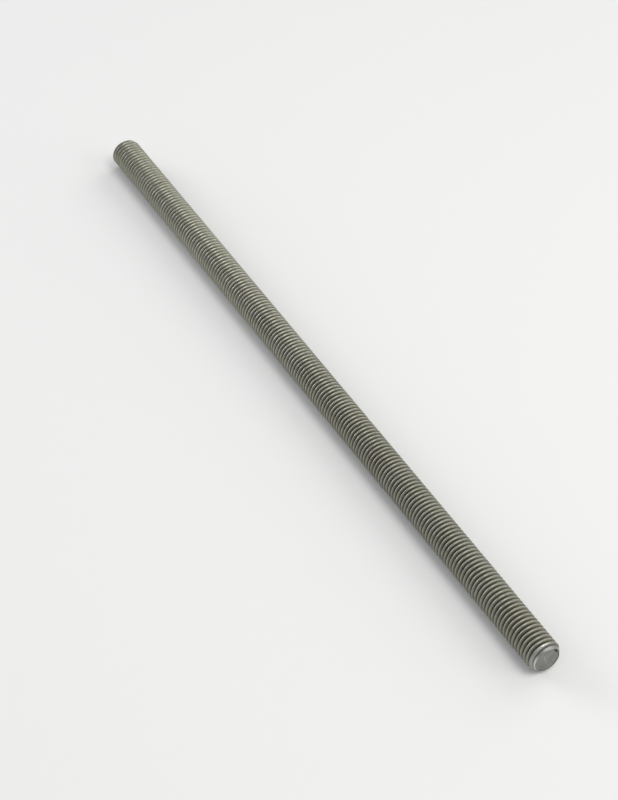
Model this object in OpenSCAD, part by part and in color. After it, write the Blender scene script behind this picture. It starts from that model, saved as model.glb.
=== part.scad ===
// Threaded rod: one straight bar with a right-hand screw thread from end to end.
// The rod lies along X on the plane z = 0, with the middle of its length at x = 0.

/* [Rod] */
// Length over both flat ends
rod_length = 313.7; // [60:0.1:330]
// Outside diameter over the crests of the thread
major_diameter = 12; // [8:0.5:20]

/* [Thread] */
// Distance along the rod from one crest to the next
pitch = 1.75; // [1.25:0.25:3]
// Depth of the groove from crest to root
thread_depth = 1.15; // [0.6:0.05:1.6]
// How far round its axis the whole thread is turned, in degrees
thread_turn = 20; // [-180:5:175]
// Straight facets that make one turn, fewer where the whole thread would need too many
facets_in_a_turn = 16; // [8:1:16]

/* [Ends] */
// How far the rim of the flat face at each end lies inside the crests
chamfer_depth = 1.4; // [0.3:0.1:3]
// Angle between the chamfer and the rod's axis
chamfer_angle = 45; // [30:1:60]

/* [Hidden] */
steel = [0.6, 0.6, 0.56];
most_triangles = 11800;

crest_r = major_diameter / 2;
root_r = crest_r - thread_depth;
end_r = crest_r - chamfer_depth;

// The thread runs more than one turn past each end, and the blank then trims it there.
half_turns = ceil(rod_length / pitch / 2) + 2;
turns = 2 * half_turns;
steps = min(facets_in_a_turn, floor(most_triangles / turns / 4));
step = 360 / steps;
start_x = -pitch * (half_turns + thread_turn / 360);

// A point of the right-hand helix that starts at start_x.
function helix(k, radius, ahead = 0) =
    [start_x + ahead + pitch * k / steps, radius * cos(k * step), radius * sin(k * step)];

// The groove's root and the ridge's crest are two helices, half a pitch apart.
// Each flank is a strip of facets between one and the other, and the strip after a crest
// ends on the same root one turn further on, so the whole surface closes.
last_root = turns * steps;
last_crest = last_root - steps;
roots = [for (k = [0:last_root]) helix(k, root_r)];
crests = [for (k = [0:last_crest]) helix(k, crest_r, pitch / 2)];
caps = [[start_x, 0, 0], [start_x + pitch * turns, 0, 0]];

function root(k) = k;
function crest(k) = last_root + 1 + k;
low_cap = last_root + last_crest + 2;
high_cap = low_cap + 1;

rising_flank = [for (k = [0:last_crest - 1])
    each [[root(k), crest(k + 1), root(k + 1)],
          [root(k), crest(k), crest(k + 1)]]];
falling_flank = [for (k = [0:last_crest - 1])
    each [[crest(k), root(k + 1 + steps), crest(k + 1)],
          [crest(k), root(k + steps), root(k + 1 + steps)]]];
low_end = concat(
    [for (k = [0:steps - 1]) [low_cap, root(k), root(k + 1)]],
    [[low_cap, crest(0), root(0)], [low_cap, root(steps), crest(0)]]);
high_end = concat(
    [for (k = [last_crest:last_root - 1]) [high_cap, root(k + 1), root(k)]],
    [[high_cap, root(last_crest), crest(last_crest)], [high_cap, crest(last_crest), root(last_root)]]);

module thread() {
    polyhedron(points = concat(roots, crests, caps),
               faces = concat(rising_flank, falling_flank, low_end, high_end));
}

// Half of the turned blank's outline, from its end face over the chamfer.
// Between the chamfers it stays clear of the crests, so it trims only the ends.
module blank() {
    outer_r = crest_r + 1;
    chamfer_length = (outer_r - end_r) / tan(chamfer_angle);
    half = rod_length / 2;
    rotate([step / 3, 0, 0])
        rotate([0, 90, 0])
            rotate_extrude($fn = 96)
                polygon([[0, -half], [end_r, -half], [outer_r, chamfer_length - half],
                         [outer_r, half - chamfer_length], [end_r, half], [0, half]]);
}

module threaded_rod() {
    color(steel)
        translate([0, 0, crest_r])
            intersection() {
                blank();
                thread();
            }
}

threaded_rod();
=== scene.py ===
import math

import bmesh
import bpy
import numpy as np
from mathutils import Matrix, Vector


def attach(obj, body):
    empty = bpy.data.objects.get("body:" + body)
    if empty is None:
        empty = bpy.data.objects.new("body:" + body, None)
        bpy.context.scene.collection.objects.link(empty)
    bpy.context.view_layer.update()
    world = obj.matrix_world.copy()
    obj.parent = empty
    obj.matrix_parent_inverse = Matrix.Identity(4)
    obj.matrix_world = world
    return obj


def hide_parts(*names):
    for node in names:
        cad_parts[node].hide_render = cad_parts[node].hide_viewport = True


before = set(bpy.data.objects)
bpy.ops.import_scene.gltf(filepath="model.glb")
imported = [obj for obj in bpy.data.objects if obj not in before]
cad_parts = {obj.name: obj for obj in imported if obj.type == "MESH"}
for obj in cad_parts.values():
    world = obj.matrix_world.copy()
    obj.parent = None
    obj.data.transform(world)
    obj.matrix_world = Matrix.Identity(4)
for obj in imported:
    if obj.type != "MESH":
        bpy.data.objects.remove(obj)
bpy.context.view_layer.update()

# Sizes of the thread, in millimetres, as in the part's source
LENGTH = 313.7
CREST_R = 6.0
PITCH = 1.75
END_R = 4.6
START_TURN = 20 / 360
MM = 0.001
HALF = LENGTH / 2

# Steps in a turn, and how steeply each chamfer rises towards the crests. The near one is flatter than the
# source's, and so longer, as the bright band on the last crest in the photo shows.
STEPS = 48
CHAMFER_RISE = {"near": 0.78, "far": 1.0}

# One pitch of the thread's section: distance along the rod from the crest, and radius
SECTION = [
    (-0.875, 4.93), (-0.47, 5.74), (-0.33, 5.88), (-0.17, 5.955), (-0.04, 5.995), (0.0, 6.0),
    (0.05, 5.991), (0.152, 5.947), (0.259, 5.882), (0.357, 5.803), (0.432, 5.724),
]

# Rolled crests are never quite level: a slow wave, a fine one and a few dents, which all fade out from the
# crest down to WEAR_R. Lengths and widths are in steps.
SEED = 7
WEAR_R = 5.0
SLOW_HEIGHT, SLOW_LENGTH = 0.012, 37
FINE_HEIGHT, FINE_LENGTH = 0.008, 3
DENTS = 90
DENT_WIDTH = (0.7, 2.2)
DENT_DEPTH = (0.03, 0.14)

# At the near end the last groove is cut deeper. This sets in at so far from the face, over so long a stretch.
LAST_GROOVE_DEPTH = 0.32
LAST_GROOVE_START, LAST_GROOVE_FADE = 2.2, 0.6

# The dent in the near face's rim: its turn round the rod in degrees, its middle's distance from the axis, and
# its half sizes along the rod, outwards and round the rod
RIM_DENT_TURN = 40
RIM_DENT_OUT = 4.3
RIM_DENT_SIZE = (0.32, 0.5, 1.4)

# The cuts leave slivers. Points and edges closer or shorter than this, in millimetres, are merged away. Edges
# above the angle, in degrees, stay sharp.
MERGE, DISSOLVE = 0.003, 0.001
SHARP_ANGLE = 38

# Noise of the materials: scale, detail and roughness
PATCHES, SPECKS, STAINS = (130, 5, 0.65), (1400, 4, 0.6), (60, 3, 0.5)
FACE_PATCHES, SAW_LINES, SAW_STRETCH = (350, 5, 0.6), (500, 3, 0.6), (1, 6, 0.4)

# Where wear, film and paler grooves set in along the rod, in metres from its middle
WORN_FROM, WORN_TO = -0.09, 0.07
FILM_FROM = -0.03
PALER_FROM = 0.04

# Colors of the thread from just below the root of the groove (0) to the crest (1), and what lies over them. The
# darker grooves are partly dirt and partly painted shade.
GROOVE_R = 4.87
THREAD_COLORS = [
    (0.0, (0.11, 0.106, 0.072)),
    (0.3, (0.13, 0.127, 0.09)),
    (0.5, (0.15, 0.148, 0.115)),
    (0.7, (0.212, 0.21, 0.167)),
    (0.82, (0.294, 0.291, 0.24)),
    (0.94, (0.398, 0.394, 0.338)),
    (1.0, (0.46, 0.457, 0.408)),
]
GRIME = (0.155, 0.11, 0.062)
FILM = (0.28, 0.28, 0.228)
LAST_GROOVE_TONE = (0.26, 0.26, 0.245)
CUT_STEEL = ((0.27, 0.27, 0.252), (0.42, 0.42, 0.395))
# Bright bare steel, also a painted highlight on the chamfer's lower left and on the last crest
BRIGHT_STEEL_AND_HIGHLIGHT = (0.6, 0.6, 0.58)

# Colors of the end faces, and two scratches that meet low on the face, each from (y, z) to (y, z). The photo shows
# them on the near face only, but both faces share the material.
FACE_COLORS = [(0.3, (0.2, 0.2, 0.185)), (0.7, (0.3, 0.3, 0.28))]
SAW_MARK = (0.2, 0.2, 0.19)
SCRATCH = (0.5, 0.5, 0.48)
# Darker along the lower edge of the faces, and painted shade in the dent
FACE_EDGE_AND_DENT_DARK = (0.035, 0.035, 0.03)
SCRATCHES = [((-1.47, 3.12), (-0.24, -1.86)), ((-0.24, -1.86), (0.7, 0.1))]
SCRATCH_FADE = 0.6

# How far in from the ends the face material goes. The dent's floor lies 0.32 mm in.
FACE_DEPTH = 0.33

# Surroundings, in metres and degrees
FLOOR_HALF = 4.0
FLOOR_COLOR = (0.88, 0.88, 0.88, 1)
SKY_COLOR, SKY_STRENGTH = (0.96, 0.975, 1, 1), 0.47
WIDE, NARROW = 180, 75
CAMERA_LENS = 102.07
CAMERA_PLACE = (0.53997, -0.29856, 0.5572)
CAMERA_PITCH, CAMERA_YAW = 47.573, 61.099


def new_mesh(name, points, faces):
    """A mesh from points in millimetres."""
    mesh = bpy.data.meshes.new(name)
    mesh.from_pydata((np.array(points) * MM).tolist(), [], faces)
    mesh.update()
    return mesh


def new_object(name, data):
    o = bpy.data.objects.new(name, data)
    bpy.context.scene.collection.objects.link(o)
    return o


def off_pitch(x):
    """How far the photo's crests lie off an even pitch: -0.23 mm at the near end, 0.17 mm at the far one.

    Both curves were fitted to the crests in the photo, with x in millimetres from the middle.
    """
    return 0.02 + np.where(x > 0, -0.24 * (x / 155) ** 4, 0.14 * (x / 150) ** 2)


def uneven(radius, high, k):
    """The section's radii at each step, with the waves and dents of the crests."""
    rng = np.random.default_rng(SEED)
    last = k[-1]
    knots = np.arange(0, last + SLOW_LENGTH, SLOW_LENGTH)
    slow = np.interp(k, knots, rng.normal(0, 1, len(knots)))
    fine = np.convolve(rng.normal(0, 1, len(k)), np.ones(FINE_LENGTH) / FINE_LENGTH, mode="same")
    r = np.repeat(radius[None], len(k), axis=0)
    r = r + high * (SLOW_HEIGHT * slow + FINE_HEIGHT * fine)[:, None]
    for _ in range(DENTS):
        at = rng.integers(0, last)
        wide = rng.uniform(*DENT_WIDTH)
        deep = rng.uniform(*DENT_DEPTH)
        r = r - high ** 4 * (deep * np.exp(-((k - at) / wide) ** 2))[:, None]
    return np.minimum(r, CREST_R)


def rod_mesh():
    """The thread as one closed helix, longer than the rod, with its crests a little uneven."""
    turns = math.ceil(LENGTH / PITCH) + 2
    count = turns * STEPS
    rows = len(SECTION)
    start = -PITCH * turns / 2
    k = np.arange(count + 1)
    angle = 2 * np.pi * k / STEPS
    along = np.array([s[0] for s in SECTION]) + PITCH / 2
    radius = np.array([s[1] for s in SECTION])
    x = start - PITCH * START_TURN + PITCH * k[:, None] / STEPS + along[None]
    x = x + off_pitch(x)
    high = np.clip((radius - WEAR_R) / (CREST_R - WEAR_R), 0, 1)[None]
    r = uneven(radius, high, k)
    r = r - LAST_GROOVE_DEPTH * (1 - high) * np.clip((x - HALF + LAST_GROOVE_START) / LAST_GROOVE_FADE, 0, 1)

    y = r * np.cos(angle)[:, None]
    z = r * np.sin(angle)[:, None]
    grid = np.stack([x, y, z], axis=2)

    # The helix's last row is the first row one turn further on, so the grid closes on itself
    last = count - STEPS
    number = np.full((count + 1, rows), -1)
    number[:, 0] = np.arange(count + 1)
    body = np.arange((last + 1) * (rows - 1)).reshape(last + 1, rows - 1) + count + 1
    number[: last + 1, 1:] = body
    points = np.concatenate([grid[:, 0], grid[: last + 1, 1:].reshape(-1, 3)])
    a = number[: last, :]
    b = number[1: last + 1, :]
    faces = []
    for j in range(rows - 1):
        faces.append(np.stack([a[:, j], b[:, j], b[:, j + 1], a[:, j + 1]], 1))
    next_a = number[STEPS: last + STEPS, 0]
    next_b = number[STEPS + 1: last + 1 + STEPS, 0]
    faces.append(np.stack([a[:, -1], b[:, -1], next_b, next_a], 1))
    faces = np.concatenate(faces)

    # Each open end is closed by a fan of triangles round a point on the axis
    low_cap, high_cap = len(points), len(points) + 1
    points = np.concatenate([points, [[x[0, 0], 0, 0], [x[count, 0], 0, 0]]])
    low_ring = list(range(0, STEPS + 1)) + [int(v) for v in number[0, :0:-1]]
    high_ring = list(range(last, count + 1)) + [int(v) for v in number[last, :0:-1]]
    caps = [[low_cap, low_ring[(i + 1) % len(low_ring)], low_ring[i]] for i in range(len(low_ring))]
    caps += [[high_cap, high_ring[i], high_ring[(i + 1) % len(high_ring)]] for i in range(len(high_ring))]
    return new_mesh("thread", points, faces.tolist() + caps)


def blank_mesh(sides=192):
    """The turned blank that trims the thread: flat ends and chamfers, clear of the crests between."""
    outer = CREST_R + 1.0
    run = {end: (outer - END_R) / rise for end, rise in CHAMFER_RISE.items()}
    outline = [(-HALF, END_R), (-HALF + run["far"], outer), (HALF - run["near"], outer), (HALF, END_R)]
    points, faces = [], []
    for x, r in outline:
        for i in range(sides):
            t = 2 * math.pi * i / sides
            points.append((x, r * math.cos(t), r * math.sin(t)))
    for ring in range(len(outline) - 1):
        for i in range(sides):
            n = (i + 1) % sides
            faces.append((ring * sides + i, ring * sides + n, (ring + 1) * sides + n, (ring + 1) * sides + i))
    faces.append(list(reversed(range(sides))))
    faces.append([(len(outline) - 1) * sides + i for i in range(sides)])
    return new_mesh("blank", points, faces)


def dent_mesh(rings=8, sides=20):
    """A flat lump that cuts the dent in the near face's rim."""
    points, faces = [], []
    along, outwards, round_it = RIM_DENT_SIZE
    c, s = math.cos(math.radians(RIM_DENT_TURN)), math.sin(math.radians(RIM_DENT_TURN))
    for i in range(rings + 1):
        a = math.pi * i / rings
        for j in range(sides if 0 < i < rings else 1):
            b = 2 * math.pi * j / sides
            x = along * math.cos(a)
            u = RIM_DENT_OUT + outwards * math.sin(a) * math.cos(b)
            v = round_it * math.sin(a) * math.sin(b)
            points.append((HALF + x, u * c - v * s, u * s + v * c))
    first = [0] + [1 + k * sides for k in range(rings - 1)] + [1 + (rings - 1) * sides]
    for j in range(sides):
        n = (j + 1) % sides
        faces.append((0, first[1] + j, first[1] + n))
        faces.append((first[rings], first[rings - 1] + n, first[rings - 1] + j))
        for k in range(1, rings - 1):
            faces.append((first[k] + j, first[k + 1] + j, first[k + 1] + n, first[k] + n))
    return new_mesh("dent", points, faces)


def trimmed_rod():
    rod = new_object("threaded_rod_steel", rod_mesh())
    for mesh, operation in ((blank_mesh(), "INTERSECT"), (dent_mesh(), "DIFFERENCE")):
        tool = new_object("tool", mesh)
        cut = rod.modifiers.new("cut", "BOOLEAN")
        cut.operation = operation
        cut.solver = "MANIFOLD"
        cut.object = tool
        depsgraph = bpy.context.evaluated_depsgraph_get()
        done = bpy.data.meshes.new_from_object(rod.evaluated_get(depsgraph))
        rod.modifiers.clear()
        old = rod.data
        rod.data = done
        bpy.data.meshes.remove(old)
        bpy.data.objects.remove(tool)
        bpy.data.meshes.remove(mesh)
    work = bmesh.new()
    work.from_mesh(rod.data)
    bmesh.ops.remove_doubles(work, verts=work.verts, dist=MERGE * MM)
    bmesh.ops.dissolve_degenerate(work, edges=work.edges, dist=DISSOLVE * MM)
    work.to_mesh(rod.data)
    work.free()
    rod.data.transform(Matrix.Translation((0, 0, CREST_R * MM)))
    rod.data.shade_smooth()
    rod.data.set_sharp_from_angle(angle=math.radians(SHARP_ANGLE))
    return rod


def math_node(tree, op, a, b=None, clamp=False):
    n = tree.nodes.new("ShaderNodeMath")
    n.operation = op
    n.use_clamp = clamp
    for i, v in enumerate((a, b)):
        if v is None:
            continue
        if isinstance(v, (int, float)):
            n.inputs[i].default_value = v
        else:
            tree.links.new(v, n.inputs[i])
    return n.outputs[0]


def times(tree, a, b):
    return math_node(tree, "MULTIPLY", a, b)


def plus(tree, a, b, clamp=False):
    return math_node(tree, "ADD", a, b, clamp)


def minus(tree, a, b, clamp=False):
    return math_node(tree, "SUBTRACT", a, b, clamp)


def larger(tree, a, b):
    return math_node(tree, "MAXIMUM", a, b)


def absolute(tree, a):
    return math_node(tree, "ABSOLUTE", a)


def spread(tree, value, amount):
    """A noise value moved to lie evenly round 0, times the amount."""
    return times(tree, minus(tree, value, 0.5), amount)


def between(tree, value, low, high):
    """0 at the low value and 1 at the high one, held there beyond them."""
    return math_node(tree, "MULTIPLY", minus(tree, value, low), 1 / (high - low), clamp=True)


def ramp(tree, fac, stops):
    n = tree.nodes.new("ShaderNodeValToRGB")
    e = n.color_ramp.elements
    while len(e) > 1:
        e.remove(e[-1])
    e[0].position, e[0].color = stops[0][0], (*stops[0][1], 1)
    for pos, col in stops[1:]:
        s = e.new(pos)
        s.color = (*col, 1)
    tree.links.new(fac, n.inputs[0])
    return n.outputs[0]


def noise(tree, vec, scale, detail, rough):
    n = tree.nodes.new("ShaderNodeTexNoise")
    n.inputs["Scale"].default_value = scale
    n.inputs["Detail"].default_value = detail
    n.inputs["Roughness"].default_value = rough
    tree.links.new(vec, n.inputs["Vector"])
    return n.outputs[0]


def mix(tree, fac, a, b):
    """The first color where the factor is 0 and the second where it is 1."""
    n = tree.nodes.new("ShaderNodeMix")
    n.data_type = "RGBA"
    for socket, v in ((n.inputs[0], fac), (n.inputs[6], a), (n.inputs[7], b)):
        if isinstance(v, tuple):
            socket.default_value = (*v, 1)
        else:
            tree.links.new(v, socket)
    return n.outputs[2]


def scaled(tree, color, factor):
    n = tree.nodes.new("ShaderNodeVectorMath")
    n.operation = "SCALE"
    tree.links.new(color, n.inputs[0])
    tree.links.new(factor, n.inputs[3])
    return n.outputs[0]


def stretched(tree, vec, factors):
    n = tree.nodes.new("ShaderNodeVectorMath")
    n.operation = "MULTIPLY"
    n.inputs[1].default_value = factors
    tree.links.new(vec, n.inputs[0])
    return n.outputs[0]


def add_bump(tree, bsdf, height, strength, distance):
    bump = tree.nodes.new("ShaderNodeBump")
    bump.inputs["Strength"].default_value = strength
    bump.inputs["Distance"].default_value = distance
    tree.links.new(height, bump.inputs["Height"])
    tree.links.new(bump.outputs[0], bsdf.inputs["Normal"])


def start_material(name):
    """A material with its place on the rod: the point, x, y and z from the axis, and the radius."""
    m = bpy.data.materials.new(name)
    m.use_nodes = True
    tree = m.node_tree
    tree.nodes.clear()
    out = tree.nodes.new("ShaderNodeOutputMaterial")
    bsdf = tree.nodes.new("ShaderNodeBsdfPrincipled")
    tree.links.new(bsdf.outputs[0], out.inputs[0])
    coord = tree.nodes.new("ShaderNodeTexCoord").outputs["Object"]
    sep = tree.nodes.new("ShaderNodeSeparateXYZ")
    tree.links.new(coord, sep.inputs[0])
    x, y = sep.outputs[0], sep.outputs[1]
    z = minus(tree, sep.outputs[2], CREST_R * MM)
    radius = math_node(tree, "SQRT", plus(tree, times(tree, y, y), times(tree, z, z)))
    return m, tree, bsdf, coord, x, y, z, radius


def thread_material():
    m, tree, bsdf, coord, x, y, _, radius = start_material("zinc_thread")
    # 0 just below the root and 1 at the crest
    high = between(tree, radius, GROOVE_R * MM, CREST_R * MM)
    low = minus(tree, 1.0, high, clamp=True)
    patch = noise(tree, coord, *PATCHES)
    speck = noise(tree, coord, *SPECKS)
    level = plus(tree, plus(tree, high, spread(tree, speck, 0.3)), spread(tree, patch, 0.22))
    # Darker towards the roots: dirt, and painted shade in the grooves
    base = ramp(tree, level, THREAD_COLORS)
    # Brown grime in the grooves, in patches, more of it towards the near end
    worn = between(tree, x, WORN_FROM, WORN_TO)
    stain = between(tree, noise(tree, coord, *STAINS), 0.5, 0.72)
    stain = times(tree, stain, plus(tree, times(tree, worn, 0.4), 0.5))
    base = mix(tree, times(tree, stain, low), base, GRIME)
    # The far end keeps an even, dull film. Towards the near end the crests are darker and the grooves paler.
    film = between(tree, x, FILM_FROM, -HALF * MM)
    base = mix(tree, times(tree, film, 0.55), base, FILM)
    paler = times(tree, times(tree, between(tree, x, PALER_FROM, HALF * MM), low), 0.55)
    darker = times(tree, times(tree, worn, high), 0.25)
    base = scaled(tree, base, plus(tree, paler, minus(tree, 1.0, darker)))
    rough = plus(tree, minus(tree, 0.5, times(tree, high, 0.19)), spread(tree, patch, 0.3))
    rough = plus(tree, rough, plus(tree, times(tree, worn, 0.12), times(tree, film, 0.06)))
    # In the last turn of each end the groove is paler
    back = plus(tree, times(tree, absolute(tree, x), -1.0), HALF * MM)
    base = mix(tree, between(tree, back, 1.7 * MM, 1.3 * MM), base, LAST_GROOVE_TONE)
    # The chamfer is bare steel, lightened as a painted highlight beside the face on the left and beside the last
    # crest elsewhere
    near = between(tree, x, -0.001, 0.001)
    rise = plus(tree, times(tree, near, CHAMFER_RISE["near"] - CHAMFER_RISE["far"]), CHAMFER_RISE["far"])
    cone = plus(tree, times(tree, back, rise), END_R * MM)
    ground = between(tree, minus(tree, cone, radius), 0.1 * MM, 0.02 * MM)
    left_highlight = times(tree, between(tree, y, -3.0 * MM, -4.2 * MM), between(tree, back, 0.6 * MM, 0.45 * MM))
    last_crest_highlight = times(tree, between(tree, y, -4.4 * MM, -2.6 * MM), between(tree, back, 0.8 * MM, 1.0 * MM))
    steel = mix(tree, speck, *CUT_STEEL)
    steel = mix(tree, larger(tree, left_highlight, last_crest_highlight), steel, BRIGHT_STEEL_AND_HIGHLIGHT)
    base = mix(tree, ground, base, steel)
    rough = plus(tree, times(tree, rough, minus(tree, 1.0, ground)), times(tree, ground, 0.4))
    tree.links.new(base, bsdf.inputs["Base Color"])
    tree.links.new(rough, bsdf.inputs["Roughness"])
    bsdf.inputs["Metallic"].default_value = 1.0
    add_bump(tree, bsdf, speck, 0.35, 0.00006)
    return m


def face_material():
    m, tree, bsdf, coord, x, y, z, radius = start_material("cut_end")
    patch = noise(tree, coord, *FACE_PATCHES)
    base = ramp(tree, patch, FACE_COLORS)
    # Marks of the saw, straight across the face
    saw = noise(tree, stretched(tree, coord, SAW_STRETCH), *SAW_LINES)
    base = mix(tree, times(tree, saw, 0.35), base, SAW_MARK)
    for (y0, z0), (y1, z1) in SCRATCHES:
        run = math.hypot(y1 - y0, z1 - z0)
        c, d = (y1 - y0) / run, (z1 - z0) / run
        dy, dz = plus(tree, y, -y0 * MM), plus(tree, z, -z0 * MM)
        along = plus(tree, times(tree, dy, c), times(tree, dz, d))
        across = absolute(tree, plus(tree, times(tree, dy, d), times(tree, dz, -c)))
        line = between(tree, across, 0.16 * MM, 0.04 * MM)
        line = times(tree, line, between(tree, along, 0.0, SCRATCH_FADE * MM))
        line = times(tree, line, between(tree, along, run * MM, (run - SCRATCH_FADE) * MM))
        base = mix(tree, times(tree, line, 0.5), base, SCRATCH)
    # Darker along the lower edge, and painted shade in the dent
    edge = between(tree, radius, (END_R - 0.6) * MM, (END_R - 0.2) * MM)
    side = plus(tree, times(tree, minus(tree, y, z), 0.7 / (END_R * MM)), 0.35, clamp=True)
    deep = between(tree, absolute(tree, x), (HALF - 0.03) * MM, (HALF - 0.2) * MM)
    edge_and_dent_dark = larger(tree, times(tree, times(tree, edge, side), 0.85), times(tree, deep, 0.9))
    base = mix(tree, edge_and_dent_dark, base, FACE_EDGE_AND_DENT_DARK)
    tree.links.new(base, bsdf.inputs["Base Color"])
    bsdf.inputs["Metallic"].default_value = 0.6
    bsdf.inputs["Roughness"].default_value = 0.55
    add_bump(tree, bsdf, plus(tree, patch, saw), 0.3, 0.00005)
    return m


def mark_faces(rod):
    """Gives the flat end faces and the dent in the near one the second material, and no part of a chamfer.

    The limit on the radius rises a little less with the distance inward than either chamfer does.
    """
    for p in rod.data.polygons:
        inward = HALF * MM - abs(p.center.x)
        radius = math.hypot(p.center.y, p.center.z - CREST_R * MM)
        if inward < FACE_DEPTH * MM and radius < END_R * MM + 0.75 * inward - 0.02 * MM:
            p.material_index = 1


def lamp(name, place, size, power, color, fan):
    data = bpy.data.lights.new(name, "AREA")
    data.shape = "RECTANGLE"
    data.size, data.size_y = size
    data.energy = power
    data.color = color
    data.spread = math.radians(fan)
    o = new_object(name, data)
    o.location = place
    o.rotation_euler = (-Vector(place)).to_track_quat("-Z", "Y").to_euler()


rod = trimmed_rod()
rod.data.materials.clear()
rod.data.materials.append(thread_material())
rod.data.materials.append(face_material())
mark_faces(rod)

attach(rod, "root")
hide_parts("threaded_rod")

# Floor
S = FLOOR_HALF
floor_mesh = bpy.data.meshes.new("floor")
floor_mesh.from_pydata([(-S, -S, 0), (S, -S, 0), (S, S, 0), (-S, S, 0)], [], [(0, 1, 2, 3)])
floor = new_object("floor", floor_mesh)
pale = bpy.data.materials.new("pale_floor")
pale.use_nodes = True
paint = pale.node_tree.nodes["Principled BSDF"]
paint.inputs["Base Color"].default_value = FLOOR_COLOR
paint.inputs["Roughness"].default_value = 0.9
paint.inputs["Specular IOR Level"].default_value = 0.2
floor_mesh.materials.append(pale)

# Light. The low lamps are narrow, so that they light the rod and not the floor in front of them.
world = bpy.data.worlds.new("soft")
bpy.context.scene.world = world
world.use_nodes = True
sky = world.node_tree.nodes["Background"]
sky.inputs[0].default_value = SKY_COLOR
sky.inputs[1].default_value = SKY_STRENGTH
lamp("top", (0.58, 0.28, 1.35), (0.8, 0.8), 7.5, (1, 0.995, 0.94), WIDE)
lamp("front_right", (0.95, 0.9, 0.5), (1.1, 1.1), 0.95, (1, 0.99, 0.95), NARROW)
lamp("right", (-0.5, 1.35, 0.7), (1.2, 1.2), 1.65, (1, 1, 0.92), NARROW)
lamp("back_left", (-1.4, -0.8, 0.55), (1, 0.8), 1.95, (0.99, 0.99, 1), NARROW)

# Camera
cam = bpy.data.cameras.new("camera")
cam.lens = CAMERA_LENS
cam.sensor_width = 36
cam.clip_start = 0.01
camera = new_object("camera", cam)
camera.location = CAMERA_PLACE
camera.rotation_euler = (math.radians(CAMERA_PITCH), 0, math.radians(CAMERA_YAW))
bpy.context.scene.camera = camera
bpy.context.scene.view_settings.view_transform = "Standard"
